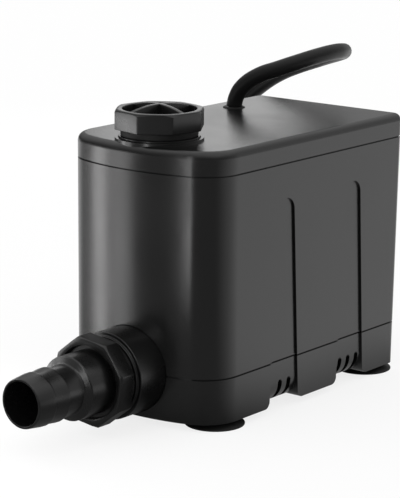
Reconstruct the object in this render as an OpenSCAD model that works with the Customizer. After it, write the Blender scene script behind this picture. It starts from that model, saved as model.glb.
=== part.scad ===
// Fountain pump: a lidded casing on a slotted base tray, two threaded ports (one plugged, one
// with a hose barb) and a wet-rotor motor on an upright shaft.
// Millimetres. +Z is up, the barb points along -Y, and Z = 0 is the surface it stands on.

/* [Casing] */
// Width of the casing across its flat sides
body_w = 102.5; // [100:0.5:106]
// Length of the casing from the bowed front to the rear wall
body_l = 177.5; // [175:0.5:188]
// Radius of the bowed front, seen from above
bow_r = 120; // [105:1:130]
// Radius of the two front corners
corner_r = 22; // [18:0.5:25]
// Radius of the two rear corners
rear_r = 5; // [4.5:0.5:7]
// Wall of the casing, the lid and the base tray
wall = 2.6; // [2.2:0.1:2.9]
// Height of the casing between its two seams
casing_h = 106; // [104:0.2:130]
// Lean of the rear wall towards the base, in degrees
rear_lean = 1.5; // [0.5:0.1:1.8]
// Height of the shadow line at both seams
seam_gap = 0.9; // [0.4:0.1:1]
// Depth of the shadow line at both seams
seam_depth = 1.2; // [0.8:0.1:1.6]
// Height of the lips that reach into the casing
lip_h = 5; // [4:0.5:6]

/* [Lid] */
// Height of the lid above the upper seam
lid_h = 13.3; // [11:0.1:18]
// Rounding of the lid's top edge
lid_round = 4; // [2:0.5:4.5]

/* [Base tray] */
// Height of the base tray below the lower seam
base_h = 24.7; // [24.6:0.1:27]
// Thickness of the tray's floor
floor_t = 2.5; // [2:0.1:3]
// Rounding of the tray's underside where it meets the recesses
block_r = 4; // [2:0.5:4.5]

/* [Side panels] */
// Depth of the shallow panels in both flanks
recess_depth = 1.2; // [0.6:0.1:1.4]
// Width of a panel where its round top begins
recess_top_w = 13.8; // [10:0.2:18]
// Width of a panel at the underside of the tray
recess_foot_w = 25.8; // [24:0.2:27]
// Height of the panels' round tops above the tray's underside
recess_top_z = 112.4; // [90:0.2:114]
// Place of the front panel along the casing
recess_front_y = -20.6; // [-21.6:0.2:-19]
// Place of the rear panel along the casing
recess_rear_y = 40.4; // [38:0.2:42]
// Radius of the intake's curl under a panel
undercut_r = 12; // [10:0.5:12.5]

/* [Intake slots] */
// Width of one intake slot
slot_w = 3.6; // [2:0.2:4]
// Height of the slots' round tops above the tray's underside
slot_top = 13.4; // [11:0.2:16]
// Spacing of the slots
slot_pitch = 7.8; // [6:0.2:8]

/* [Feet] */
// Height of the tray above the surface it stands on
foot_h = 4; // [4:0.5:6]
// Radius of a suction cup
cup_r = 16; // [13:0.5:16.5]
// Distance of the cups' middles from the flanks
cup_side = 14.5; // [13:0.5:16]
// Distance of the front cups' middles behind the front of the casing
cup_front = 26.75; // [24.75:0.25:27.75]
// Distance of the rear cups' middles from the rear wall
cup_rear = 13.75; // [12.75:0.25:14.75]

/* [Ports] */
// Outer radius of the port tubes
port_r = 21.4; // [21:0.1:21.8]
// Radius of the collars round the ports
collar_r = 23.4; // [22.8:0.1:23.6]
// Radius of the threaded bore in a port
thread_r = 18.6; // [18:0.1:19]
// Length of thread that holds a fitting
thread_len = 12; // [8:1:13]
// Distance of the upper port's axis behind the front of the casing
port_inset = 24.75; // [24.5:0.25:27]
// Distance of the front port's face ahead of the casing
port_reach = 18.75; // [16:0.25:30]
// Thickness of the seal washers under the fittings' heads
washer_t = 3.7; // [2:0.1:4.5]
// Size of the octagonal heads across their flats
head_flats = 45; // [43:0.5:48]
// Height of the octagonal heads
head_h = 10.5; // [9:0.5:13]
// Radius of the hollow in the plug's head
hollow_r = 19.5; // [18:0.1:20]
// Thickness of the plug's crossed grip ribs
grip_rib = 3; // [2:0.5:4]

/* [Hose barb] */
// Outer radius of the barb at its mouth
mouth_r = 12.9; // [12.6:0.1:13.2]
// Bore radius of the barb
barb_bore_r = 11.6; // [10:0.1:11.8]
// Outer radius of the barb's two ridges
ridge_r = 14.4; // [14:0.1:15]
// Radius of the barb's plain neck at the head
neck_r = 17.1; // [16:0.1:17.5]
// Length of the neck ahead of the head
neck_l = 14.7; // [10:0.1:20]
// Length of the barb ahead of the neck
barb_l = 34.6; // [34:0.1:45]

/* [Pump chamber] */
// Place of the shaft along the casing
shaft_y = 8; // [7:0.5:9]
// Inner radius of the pump chamber
chamber_r = 30; // [29:0.5:31]
// Inner height of the pump chamber
chamber_h = 15; // [14.9:0.1:16]
// Radius of the impeller
impeller_r = 26; // [20:0.5:27]
// Number of impeller blades
blades = 6; // [4:1:8]
// Radius of the inlet eye
eye_r = 14; // [12:0.5:16]

/* [Motor] */
// Radius of the ceramic shaft
shaft_r = 2; // [1.5:0.25:2.5]
// Radius of the rotor magnet
magnet_r = 13.8; // [12:0.1:14.2]
// Length of the rotor magnet
magnet_l = 32; // [24:1:34]
// Height of the lamination stack
stack_h = 34; // [28:1:34]
// Height of the motor case
motor_h = 70; // [66:0.5:72]

/* [Cord] */
// Diameter of the cord
cord_d = 9; // [8:0.5:9]
// Sideways place of the cord's outlet in the lid
cord_x = -32.5; // [-33:0.5:-31.5]
// Place of the cord's outlet along the lid
cord_y = 41; // [40:0.5:42]

/* [Hidden] */
$fn = 96;

shell_grey = [0.20, 0.20, 0.20];
fitting_grey = [0.17, 0.17, 0.17];
seal_black = [0.07, 0.07, 0.07];
cord_black = [0.12, 0.12, 0.12];
resin_black = [0.10, 0.10, 0.11];
inner_grey = [0.30, 0.30, 0.31];
magnet_grey = [0.25, 0.24, 0.23];
ceramic_white = [0.90, 0.89, 0.86];
steel = [0.72, 0.72, 0.73];
lamination = [0.42, 0.43, 0.45];
copper = [0.72, 0.40, 0.22];
nylon = [0.85, 0.83, 0.77];
brass = [0.78, 0.62, 0.32];

slack = 0.3;      // gap between pieces that lie side by side
fit = 0.05;       // radial gap of a turning or pushed fit
eps = 0.01;
reach = 400;      // longer than anything that it cuts

// the casing's middle, seen from the middle of the whole pump's footprint
mid_y = 40;

// heights
base_z = foot_h;
floor_z = base_z + floor_t;
seam_low = base_z + base_h;
seam_high = seam_low + casing_h;
lid_top = seam_high + lid_h;
lid_inner = lid_top - wall;

// plan of the casing
half_w = body_w / 2;
front_y = -body_l / 2;
rear_y = body_l / 2;
bow_y = front_y + bow_r;
corner_x = half_w - corner_r;
corner_y = bow_y - sqrt((bow_r - corner_r) ^ 2 - corner_x ^ 2);
lip_inset = wall + 0.15;
lip_t = 1.7;
snap_y = [8, 68];
snap_l = 12;
slot_back = 1.7;     // the front panel's slots lie a little behind its middle
cup_stem_r = 4;
cup_x = half_w - cup_side;
cup_front_y = front_y + cup_front;
cup_rear_y = rear_y - cup_rear;

// ports
outlet_z = seam_low;
port_y = front_y + port_inset;
collar_h = 1.2;
collar_step = 1.5;
port_face = -front_y + port_reach;
top_face = lid_top + collar_h + 0.8;
socket_l = thread_len + 2.5;
barrel_bore = thread_r - 2.6;
riser_bore = 14;
riser_r = 17;
spigot_r = thread_r - slack;
washer_r = port_r - 1;
head_r = head_flats / 2 / cos(22.5);
cap_turn = 11.4;
barb_turn = 15.5;
cap_z = top_face + washer_t;
barb_u = port_face + washer_t;

// place of the motor case between the casing's screws
side_screw_inset = 8;
rear_screw_inset = 10.75;
boss_r = 5;
motor_side_gap = 2.25;
motor_rear_gap = 17.25;
motor_lead = 36;
motor_hw = half_w - side_screw_inset - boss_r - motor_side_gap;
motor_front = shaft_y - motor_lead;
motor_rear = rear_y - motor_rear_gap;

// screws of the casing
screw_lead = 14;
screw_x = half_w - side_screw_inset;
screw_y = [motor_front - screw_lead, shaft_y + 0.5];
rear_screw_y = rear_y - rear_screw_inset;
case_screw_places = concat([for (x = [-screw_x, screw_x], y = screw_y) [x, y, 0]],
    [[0, rear_screw_y, 0]]);
screw_r = 1.9;
screw_head_r = 3.5;
screw_head_h = 2.6;
screw_seat = base_z + 14;
screw_tip = seam_low + 14;
tower_r = 6;
boss_top = seam_low + 19;

// pump chamber
cover_z = floor_z + 5.5;
cover_t = 2.5;
chamber_z = cover_z + cover_t;
chamber_wall = 3;
chamber_top = chamber_z + chamber_h + chamber_wall;
ear_r = 3.8;
ear_gap = 3;
ear_side = 4.8;
ear_out = chamber_r + chamber_wall + ear_gap;
ear_x = motor_hw - ear_side;
ear_y = sqrt(ear_out ^ 2 - ear_x ^ 2);
duct_r = 7.3;
duct_out = duct_r + 3.2;
duct_z = chamber_z + duct_r + 0.15;
tee_rear = 36;
barrel_back = tee_rear + chamber_wall;
hub_r = 6;
pocket_r = 4;
pin_r = 1.4;
pin_head_r = 2.7;
pin_head_h = 1.8;

// rotor and motor
flange_t = 1.5;
motor_z = chamber_top + flange_t;
motor_floor = 6;
motor_top = motor_z + motor_h;
motor_wall = 2;
can_h = 62;
can_r = 16.8;
can_bore = 15;
can_flange_r = 22;
can_end = 3;
can_socket = 6;
can_top = motor_z + can_h;
impeller_z = chamber_z + 1.5;
impeller_h = chamber_h - 4;
stem_r = 5.5;
pad_h = 8;
stack_z = motor_z + motor_floor + pad_h;
stack_mid = stack_z + stack_h / 2;
stem_over = 19;
stem_top = stack_mid + stem_over;
core_side_gap = 8;
core_lead = 19;
core_trail = 21;
core_hw = motor_hw - core_side_gap;
core_y0 = shaft_y - core_lead;
core_y1 = shaft_y + core_trail;
pole_gap = 4;
yoke_t = 12;
yoke_rear_gap = 2.5;
yoke_y1 = motor_rear - yoke_rear_gap;
yoke_y0 = yoke_y1 - yoke_t;
leg_in = 13;
leg_out = core_hw - 1;
leg_mid = (leg_in + leg_out) / 2;
coil_gap = 1;
coil_y0 = core_y1 + coil_gap;
coil_y1 = yoke_y0 - coil_gap;
bobbin_t = 1;
wind_t = 5;
potting_t = 5;
potting_z = motor_top - potting_t - 1;
lug_r = 5;
lug_t = 3;
lug_front_inset = 6;
lug_rear_inset = 12;
lug_rear_out = 4.5;
lug_front_x = motor_hw - lug_front_inset;
lug_rear_x = motor_hw - lug_rear_inset;
lug_front_y = motor_front - lug_r;
lug_rear_y = motor_rear + lug_rear_out;
post_places = [[-lug_front_x, lug_front_y, 0], [lug_front_x, lug_front_y, 0],
    [-lug_rear_x, lug_rear_y, 0], [lug_rear_x, lug_rear_y, 0]];
post_screw_r = 1.5;
post_head_over = 1.4;
post_head_h = 2;
post_screw_l = 14;

// cord
cord_r = cord_d / 2;
grommet_r = 6.3;
lead_side = 7.5;
grommet_top = lid_top + 0.6;
free_sides = 10;
coil_sides = 6;
coil_rings = 24;
coil_turns = 4.5;
coil_step = 9.5;
coil_mid = 48;
coil_out = coil_mid + coil_step * coil_turns / 4;
coil_x = -111;
coil_y = 144;
coil_bearing = 219;   // of the coil's first point, seen from its middle
layer_z = cord_r + 1.2;
// way that the cord runs into the coil, and back out of it
into = [-sin(coil_bearing - 180), cos(coil_bearing - 180), 0];
coil_entry = coil_point(0) - cord_d * into;
coil_exit = coil_point(coil_turns) - cord_d * into;
tail_l = 45;
plug_z = 13.4;
plug_l = 42;
blade_gap = 12.7;
// the cord's lead from the motor to the lid
lead_x = -motor_hw + lead_side;
lead_route = [[lead_x, cord_y, motor_top - 1], [lead_x, cord_y, motor_top + 4],
    [lead_x - 0.8, cord_y, motor_top + 7.5], [cord_x + 0.8, cord_y, motor_top + 12],
    [cord_x, cord_y, motor_top + 16], [cord_x, cord_y, grommet_top]];
// the free cord, from the lid to the coil
free_route = [[cord_x, cord_y, grommet_top], [-31, 41, 154], [-27, 41.5, 160.2], [-18, 44.5, 167.2],
    [-8.5, 50.5, 171.4], [-0.5, 59.5, 175.1], [4.5, 71, 177.7], [5.5, 84, 178.5], [2.5, 96.5, 177.5],
    [-4, 107.5, 175.5], [-13.5, 116, 172.5], [-25, 121.5, 169], [-37, 124.5, 165],
    [-49.5, 125, 160.5], [-61, 123.5, 155.3], [-71.5, 120.5, 148.2], [-80, 116, 139.5],
    [-87, 111, 128.5], [-93, 105, 118], [-97, 99, 107], [-100.5, 93.5, 96], [-102.5, 88, 84],
    [-105.5, 83, 72], [-108, 79.5, 60.5], [-112, 77, 48.5], [-116.5, 76.5, 37], [-122.5, 78, 26],
    [-130, 82, 17], [-137.5, 87.5, 10], [-144.5, 93, 6.5], coil_entry];

// ---- Paths of the cord ----

function unit(v) = v / norm(v);

// Headings along a path, with those at its two ends given
function headings(p, first, last) = [for (i = [0:len(p) - 1])
    i == 0 ? first : i == len(p) - 1 ? last : unit(p[i + 1] - p[i - 1])];

// Side vectors carried along the headings without twist
function sides(t, s) = len(s) == len(t) ? s :
    let (a = s[len(s) - 1], h = t[len(s)]) sides(t, concat(s, [unit(a - (a * h) * h)]));

// Share of the climb between the layers that is done after t turns, all in one half turn
function climb(t) = let (k = min(max((t - coil_turns / 2) * 2 + 0.5, 0), 1)) k * k * (3 - 2 * k);

// Point of the coil after t turns: it spirals in on one layer and out on the next
function coil_point(t) = let (
    bearing = coil_bearing - 360 * t,
    r = coil_out - coil_step * min(t, coil_turns - t))
    [coil_x + r * cos(bearing), coil_y + r * sin(bearing), layer_z + coil_step * climb(t)];

coil_path = concat([coil_entry], [for (i = [0:coil_turns * coil_rings]) coil_point(i / coil_rings)],
    [coil_exit]);
// Point on the cord's tail, so far beyond the coil
function tail_point(l, z) = [coil_exit[0] - l * into[0], coil_exit[1] - l * into[1], z];
tail_end = tail_l - cord_d;
tail_path = [coil_exit, tail_point(9, layer_z + coil_step), tail_point(18, layer_z + coil_step - 0.9),
    tail_point(tail_end - 9, plug_z), tail_point(tail_end, plug_z)];

// Least gap between the coil's own turns
self_gap = min([for (i = [0:coil_rings * coil_turns], j = [i + coil_rings / 2:coil_rings * coil_turns])
    norm(coil_path[i + 1] - coil_path[j + 1])]) - cord_d;
echo(least_self_gap = self_gap);

// A round cord swept along a path
module cord_sweep(p, n, first, last, side) {
    t = headings(p, first, last);
    s = sides(t, [side]);
    ends = len(p) - 1;
    points = [for (i = [0:ends], k = [0:n - 1])
        p[i] + cord_r * (cos(360 * k / n) * s[i] + sin(360 * k / n) * cross(t[i], s[i]))];
    walls = [for (i = [0:ends - 1], k = [0:n - 1]) let (a = i * n + k, b = i * n + (k + 1) % n)
        each [[a, a + n, b + n], [a, b + n, b]]];
    polyhedron(points, concat(walls, [[for (k = [0:n - 1]) k], [for (k = [n - 1:-1:0]) ends * n + k]]));
}

// ---- Shared shapes ----

// Puts the casing's frame into the part's frame
module place() {
    translate([0, mid_y, 0]) children();
}

// A round bar along Z
module bar(r, z0, z1) {
    translate([0, 0, z0]) cylinder(r = r, h = z1 - z0);
}

// A round bar with a bore
module ring(r_out, r_in, z0, z1) {
    difference() {
        bar(r_out, z0, z1);
        bar(r_in, z0 - 1, z1 + 1);
    }
}

// A block between two opposite corners
module block(low, high) {
    translate(low) cube(high - low);
}

// Turns a shape about the front port's axis, so that its own Z points ahead (-Y)
module ahead() {
    translate([0, 0, outlet_z]) rotate([90, 0, 0]) children();
}

// Repeats a shape on both flanks
module both_sides() {
    for (s = [0, 1]) mirror([s, 0, 0]) children();
}

// Front of the casing's outline: a bow that runs into two corner arcs, drawn in by d
module bow_plan(d) {
    tip_x = corner_x * 3;
    tip_y = bow_y + (corner_y - bow_y) * 3;
    intersection() {
        translate([0, bow_y]) circle(r = bow_r - d);
        polygon([[0, bow_y], [tip_x, tip_y], [-tip_x, tip_y]]);
    }
    for (s = [-1, 1]) translate([s * corner_x, corner_y]) circle(r = corner_r - d);
    polygon([[0, bow_y], [-corner_x, corner_y], [-half_w + d, corner_y],
        [-half_w + d, rear_y + 20], [half_w - d, rear_y + 20], [half_w - d, corner_y],
        [corner_x, corner_y]]);
}

// Rear of the outline, drawn in by d, with its rear edge at y = 0
module rear_plan(d) {
    r = max(rear_r, d + 0.5);
    translate([-half_w + d, -reach]) square([body_w - 2 * d, reach - r]);
    translate([-half_w + r, -reach]) square([body_w - 2 * r, reach - d]);
    for (s = [-1, 1]) translate([s * (half_w - r), -r]) circle(r = r - d);
}

// The casing's outer form between two heights, drawn in by d; its rear wall leans
module form(d, z0, z1) {
    intersection() {
        translate([0, 0, z0]) linear_extrude(z1 - z0) bow_plan(d);
        translate([0, rear_y, seam_high]) rotate([-rear_lean, 0, 0])
            translate([0, 0, -reach / 2]) linear_extrude(reach) rear_plan(d);
    }
}

// Outline of a recessed panel seen from the side, wide at its foot and round at its top
module panel_outline() {
    top_r = recess_top_w / 2;
    top_z = base_z + recess_top_z - top_r;
    foot = recess_foot_w / 2;
    polygon([[-foot, base_z - 1], [foot, base_z - 1], [top_r, top_z], [-top_r, top_z]]);
    translate([0, top_z]) circle(r = top_r);
    for (s = [0, 1]) mirror([s, 0]) translate([foot - 0.3, base_z - 1]) difference() {
        square([block_r, block_r + 1]);
        translate([block_r, block_r + 1]) circle(r = block_r);
    }
}

// Cuts a panel of the right flank; its foot curls under the tray
module panel_cut(y) {
    x = half_w - recess_depth;
    difference() {
        translate([x - undercut_r, y, 0]) rotate([90, 0, 90]) linear_extrude(30) panel_outline();
        block([0, y - 50, base_z + undercut_r], [x, y + 50, lid_top]);
        translate([x - undercut_r, y + 50, base_z + undercut_r]) rotate([90, 0, 0])
            bar(undercut_r, 0, 100);
    }
}

// Cuts the panels of both flanks
module panels() {
    both_sides() panel_cut(recess_front_y);
    both_sides() panel_cut(recess_rear_y);
}

// Carries the lower shadow line across a panel
module panel_seam(y) {
    block([half_w - recess_depth - seam_depth, y - recess_foot_w / 2, seam_low - seam_gap],
          [half_w + 1, y + recess_foot_w / 2, seam_low]);
}

// Wall behind a panel's curled foot
module panel_backing(y) {
    x = half_w - recess_depth - undercut_r;
    half = recess_foot_w / 2 + block_r + wall;
    difference() {
        block([x, y - half, base_z + 1], [half_w - 1, y + half, base_z + undercut_r]);
        translate([x, y + half + 1, base_z + undercut_r]) rotate([90, 0, 0])
            bar(undercut_r - wall, 0, 2 * half + 2);
    }
}

// One intake slot through the curled foot of a panel
module slot(y) {
    x = half_w - recess_depth - undercut_r - 3;
    top = base_z + slot_top - slot_w / 2;
    block([x, y - slot_w / 2, base_z - 1], [half_w + 1, y + slot_w / 2, top]);
    translate([x, y, top]) rotate([0, 90, 0]) bar(slot_w / 2, 0, half_w - x + 1);
}

// A snap bead that stands out of a lip by `out`, or the pocket that takes it
module snap(y, length, out) {
    x = half_w - lip_inset;
    z = seam_high - lip_h / 2;
    block([x - 1, y - length / 2, z - 0.7], [x + out, y + length / 2, z + 0.7]);
}

// Octagonal head with its outer corners bevelled off
module head(turn, z0, z1) {
    bevel = 1.4;
    intersection() {
        rotate([0, 0, turn]) translate([0, 0, z0]) cylinder(r = head_r, h = z1 - z0, $fn = 8);
        union() {
            bar(head_r + 1, z0 - 1, z1 - bevel);
            translate([0, 0, z1 - bevel - eps])
                cylinder(r1 = head_r + 0.1, r2 = head_r - bevel, h = bevel + 2 * eps);
        }
    }
}

// A screw that points up from the seat of its head
module screw(r, tip, seat, r_head, h_head) {
    bar(r_head, seat - h_head, seat);
    bar(r, seat - eps, tip);
}

// Repeats a shape at each screw that holds the casing on the tray
module at_case_screws() {
    for (p = case_screw_places) translate(p) children();
}

// Repeats a shape at each post that carries the motor
module at_posts() {
    for (p = post_places) translate(p) children();
}

// Repeats a shape at each ear of the pump chamber
module at_ears() {
    for (x = [-ear_x, ear_x], y = [-ear_y, ear_y]) translate([x, shaft_y + y, 0]) children();
}

// ---- Shell ----

// Lid: rounded along its top edge, open below, with the upper port's collar and a snap lip
module top_lid() {
    color(shell_grey) difference() {
        union() {
            form(seam_depth, seam_high, seam_high + seam_gap + 1);
            form(0, seam_high + seam_gap, lid_top - lid_round);
            hull() for (a = [0:15:90]) {
                z = lid_top - lid_round * (1 - sin(a));
                form(0.05 + lid_round * (1 - cos(a)), z - eps, z, $fn = 64);
            }
            translate([0, port_y, 0]) bar(collar_r, lid_inner, lid_top + collar_h);
            form(lip_inset, seam_high - lip_h, seam_high + 1);
            both_sides() for (y = snap_y) snap(y, snap_l, 0.8);
        }
        form(lip_inset + lip_t, seam_high - lip_h - 1, seam_high + 3);
        form(wall, seam_high + 3 - eps, lid_inner);
        translate([0, port_y, 0]) bar(port_r + slack, seam_high - lip_h - 1, top_face);
        translate([cord_x, cord_y, 0]) bar(grommet_r + fit, seam_high, lid_top + 1);
    }
}

// Casing: the tall wall between the seams, with bosses for the tray's screws
module main_casing() {
    color(shell_grey) difference() {
        union() {
            difference() {
                form(0, seam_low, seam_high);
                form(wall, seam_low - 1, seam_high + 1);
            }
            at_case_screws() bar(boss_r, seam_low, boss_top);
            both_sides() for (y = screw_y)
                block([screw_x, y - 1.5, seam_low], [half_w - 1.5, y + 1.5, boss_top - 2]);
            block([-1.5, rear_screw_y, seam_low], [1.5, rear_y - 4, boss_top - 2]);
        }
        panels();
        ahead() bar(collar_r + slack, -port_y, -front_y + 5);
        at_case_screws() bar(screw_r + fit, seam_low - 1, screw_tip + 1);
        both_sides() for (y = snap_y) snap(y, snap_l + 1, 1.2);
    }
}

// Base tray: floor, low wall with curled intake grilles, lip, screw towers and motor posts
module base_tray() {
    color(shell_grey) difference() {
        union() {
            difference() {
                union() {
                    form(0, base_z, seam_low - seam_gap);
                    form(seam_depth, seam_low - seam_gap - 1, seam_low);
                    difference() {
                        form(lip_inset, seam_low - 1, seam_low + lip_h);
                        at_case_screws() bar(boss_r + 1.5, seam_low, seam_low + lip_h + 1);
                    }
                }
                form(lip_inset + lip_t, seam_low - 3, seam_low + lip_h + 1);
                form(wall, floor_z, seam_low - 3 + eps);
            }
            both_sides() for (y = [recess_front_y, recess_rear_y]) panel_backing(y);
            at_case_screws() bar(tower_r, base_z + 1, seam_low);
            at_posts() bar(lug_r, base_z + 1, motor_z);
        }
        panels();
        both_sides() for (y = [recess_front_y, recess_rear_y]) panel_seam(y);
        both_sides() for (i = [-0.5, 0.5]) slot(recess_front_y + slot_back + i * slot_pitch);
        both_sides() for (i = [-1:1]) slot(recess_rear_y + i * slot_pitch);
        ahead() bar(collar_r + slack, -port_y + 15.5, -front_y + 5);
        at_case_screws() bar(screw_head_r + slack, base_z - 1, screw_seat);
        at_case_screws() bar(screw_r + slack, base_z, seam_low + 1);
        at_posts() bar(post_screw_r + fit, motor_z - post_screw_l - 2, motor_z + 1);
        both_sides() for (y = [cup_front_y, cup_rear_y])
            translate([cup_x, y, 0]) bar(cup_stem_r + fit, base_z - 1, floor_z + 1);
    }
}

// Four suction cups, each held by a button through the tray's floor
module suction_cups() {
    color(seal_black) both_sides() for (y = [cup_front_y, cup_rear_y]) translate([cup_x, y, 0])
        rotate_extrude() polygon([[0, foot_h - 1.6], [cup_stem_r + 1, foot_h - 1.6], [cup_r - 4, 0.9],
            [cup_r - 1, 0], [cup_r, 0], [cup_r, 0.7], [cup_r - 4, 2.2], [cup_stem_r + 3, foot_h],
            [cup_stem_r, foot_h], [cup_stem_r, floor_z], [cup_stem_r + 1.8, floor_z],
            [cup_stem_r + 1.2, floor_z + 1.6], [0, floor_z + 1.6]]);
}

// Five screws that hold the casing on the tray, from below
module case_screws() {
    color(steel) at_case_screws()
        screw(screw_r, screw_tip, screw_seat, screw_head_r, screw_head_h);
}

// ---- Ports ----

// Barrel of the outlet: the tube behind the front port, with the riser's hole in its top
module outlet_barrel() {
    color(fitting_grey) difference() {
        union() {
            ahead() bar(port_r, barrel_back, port_face);
            ahead() bar(collar_r, riser_r + 0.5 - port_y, port_face - collar_step);
        }
        ahead() bar(thread_r, port_face - socket_l, port_face + 1);
        ahead() bar(barrel_bore, barrel_back - 1, port_face);
        translate([0, port_y, 0]) bar(riser_bore, outlet_z, outlet_z + collar_r + 1);
    }
}

// Wall that closes the barrel at its rear, round the chamber's duct
module barrel_end() {
    color(fitting_grey) difference() {
        ahead() bar(port_r, tee_rear, barrel_back);
        translate([0, 0, duct_z]) rotate([90, 0, 0]) bar(duct_out + fit, tee_rear - 1, barrel_back + 1);
    }
}

// Riser that stands on the barrel and ends in the upper port
module outlet_riser() {
    color(fitting_grey) difference() {
        translate([0, port_y, 0]) {
            bar(riser_r, outlet_z, top_face - 1);
            bar(port_r, top_face - socket_l - 4, top_face);
            translate([0, 0, top_face - socket_l - 10]) cylinder(r1 = riser_r, r2 = port_r, h = 6.01);
        }
        ahead() bar(port_r, barrel_back - 1, port_face);
        translate([0, port_y, 0]) {
            bar(riser_bore, outlet_z, top_face);
            bar(thread_r, top_face - socket_l, top_face + 1);
        }
    }
}

// Cradle that carries the barrel on the tray's floor
module barrel_cradle() {
    color(fitting_grey) difference() {
        block([-10, port_y - 8, floor_z], [10, -barrel_back - 1, outlet_z - barrel_bore - 2]);
        ahead() bar(port_r, barrel_back - 1, port_face);
    }
}

// Plug of the upper port: hollow octagonal head with arched crossed ribs, and a threaded spigot
module port_cap() {
    rim = cap_z + head_h;
    arch_r = 67;
    color(fitting_grey) translate([0, port_y, 0]) {
        difference() {
            union() {
                head(cap_turn, cap_z, rim);
                bar(spigot_r, cap_z - washer_t - thread_len, cap_z + 1);
            }
            bar(hollow_r, cap_z + 1, rim + 1);
            bar(hollow_r - 4, cap_z - thread_len + 1, rim);
        }
        intersection() {
            bar(hollow_r + 0.5, cap_z + 0.5, rim + 4);
            for (a = [0, 90]) rotate([90, 0, cap_turn - 22.5 + a])
                translate([0, rim + 2.4 - arch_r, -grip_rib / 2]) cylinder(r = arch_r, h = grip_rib);
        }
    }
}

// Seal washer under the plug's head
module cap_seal() {
    color(seal_black) translate([0, port_y, 0]) ring(washer_r, thread_r - 0.1, top_face, cap_z);
}

// Hose barb: octagonal head, threaded spigot, plain neck and a tail with two ridges, round one bore
module hose_barb() {
    face = barb_u + head_h;
    neck_end = face + neck_l;
    mouth = neck_end + barb_l;
    shaft = mouth_r + 0.7;
    color(fitting_grey) ahead() difference() {
        union() {
            head(barb_turn, barb_u, face);
            rotate_extrude() polygon([[barb_bore_r, port_face - thread_len],
                [spigot_r, port_face - thread_len], [spigot_r, barb_u + 1],
                [neck_r, barb_u + 1], [neck_r, neck_end], [shaft - 0.4, neck_end + 1.8],
                [shaft, neck_end + 13], [ridge_r, neck_end + 13.5], [ridge_r, neck_end + 14.5],
                [mouth_r + 0.5, neck_end + 23], [ridge_r - 0.3, neck_end + 23.5],
                [ridge_r - 0.3, neck_end + 24.5], [mouth_r, mouth - 1], [mouth_r - 0.8, mouth],
                [barb_bore_r, mouth]]);
        }
        bar(barb_bore_r, port_face - thread_len - 1, mouth + 1);
        ring(hollow_r, neck_r, face - 3, face + 1);
    }
}

// Seal washer under the barb's head
module barb_seal() {
    color(seal_black) ahead() ring(washer_r, thread_r - 0.1, port_face, barb_u);
}

// ---- Pump ----

// Pump chamber: a round pot, open below, with ears and the duct to the tee
module pump_chamber() {
    color(inner_grey) difference() {
        union() {
            translate([0, shaft_y, 0]) bar(chamber_r + chamber_wall, chamber_z, chamber_top);
            at_ears() bar(ear_r, chamber_z, motor_z);
            difference() {
                translate([0, 0, duct_z]) rotate([90, 0, 0])
                    bar(duct_out, chamber_r - shaft_y - 4, tee_rear + chamber_wall);
                translate([0, shaft_y, 0])
                    bar(chamber_r + chamber_wall + slack, duct_z - duct_out - 1, chamber_z);
            }
        }
        translate([0, shaft_y, 0]) bar(chamber_r, chamber_z - 1, chamber_z + chamber_h);
        translate([0, shaft_y, 0]) bar(can_bore, chamber_z, chamber_top + 1);
        translate([0, 0, duct_z]) rotate([90, 0, 0]) bar(duct_r, -shaft_y, tee_rear + chamber_wall + 1);
        at_ears() bar(pin_r + fit, chamber_z - 1, motor_z + 1);
    }
}

// Cover under the chamber, with the inlet eye and the lower bush's hub on four spokes
module chamber_cover() {
    color(inner_grey) difference() {
        union() {
            translate([0, shaft_y, 0]) ring(chamber_r + chamber_wall, eye_r, cover_z, chamber_z);
            at_ears() bar(ear_r, cover_z, chamber_z);
            translate([0, shaft_y, 0]) bar(hub_r, cover_z - 2, chamber_z);
            for (a = [0, 90]) translate([0, shaft_y, cover_z]) rotate([0, 0, a])
                block([-eye_r - 1, -1.5, 0], [eye_r + 1, 1.5, cover_t]);
        }
        translate([0, shaft_y, 0]) bar(pocket_r, cover_z - 1, chamber_z + 1);
        at_ears() bar(pin_r + fit, cover_z - 1, chamber_z + 1);
    }
}

// Flat gasket between the chamber and the motor case
module chamber_gasket() {
    color(seal_black) translate([0, shaft_y, 0])
        ring(chamber_r, can_flange_r + slack, chamber_top, motor_z);
}

// Four screws up through the cover and the chamber into the motor case
module chamber_screws() {
    color(steel) at_ears() screw(pin_r, motor_z + 4.5, cover_z, pin_head_r, pin_head_h);
}

// Impeller: straight blades under a disc, so that it pumps whichever way it starts, on a stem
module impeller() {
    disc_z = impeller_z + impeller_h - 2;
    color(nylon) translate([0, shaft_y, 0]) difference() {
        union() {
            bar(impeller_r, disc_z, disc_z + 2);
            bar(hub_r + 1, impeller_z, disc_z + 1);
            for (i = [0:blades - 1]) rotate([0, 0, 360 * i / blades])
                block([hub_r, -1, impeller_z], [impeller_r - 0.5, 1, disc_z + 1]);
            bar(stem_r, disc_z, stem_top);
            bar(stem_r + 3, disc_z + 1, stack_mid - magnet_l / 2);
        }
        bar(shaft_r + fit, impeller_z - 1, stem_top + 1);
    }
}

// Ring magnet on the impeller's stem
module rotor_magnet() {
    color(magnet_grey) translate([0, shaft_y, 0])
        ring(magnet_r, stem_r + fit, stack_mid - magnet_l / 2, stack_mid + magnet_l / 2);
}

// Ceramic shaft, still, that the rotor turns on
module rotor_shaft() {
    color(ceramic_white) translate([0, shaft_y, 0])
        bar(shaft_r, cover_z - 1, can_top - can_end - slack);
}

// Bush that holds the shaft's lower end in the cover
module lower_bush() {
    color(seal_black) translate([0, shaft_y, 0])
        ring(pocket_r - fit, shaft_r + fit, cover_z - 1, impeller_z - slack);
}

// Bush that holds the shaft's upper end in the rotor can
module upper_bush() {
    color(seal_black) translate([0, shaft_y, 0])
        ring(pocket_r - fit, shaft_r + fit, stem_top + slack, can_top - can_end);
}

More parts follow.
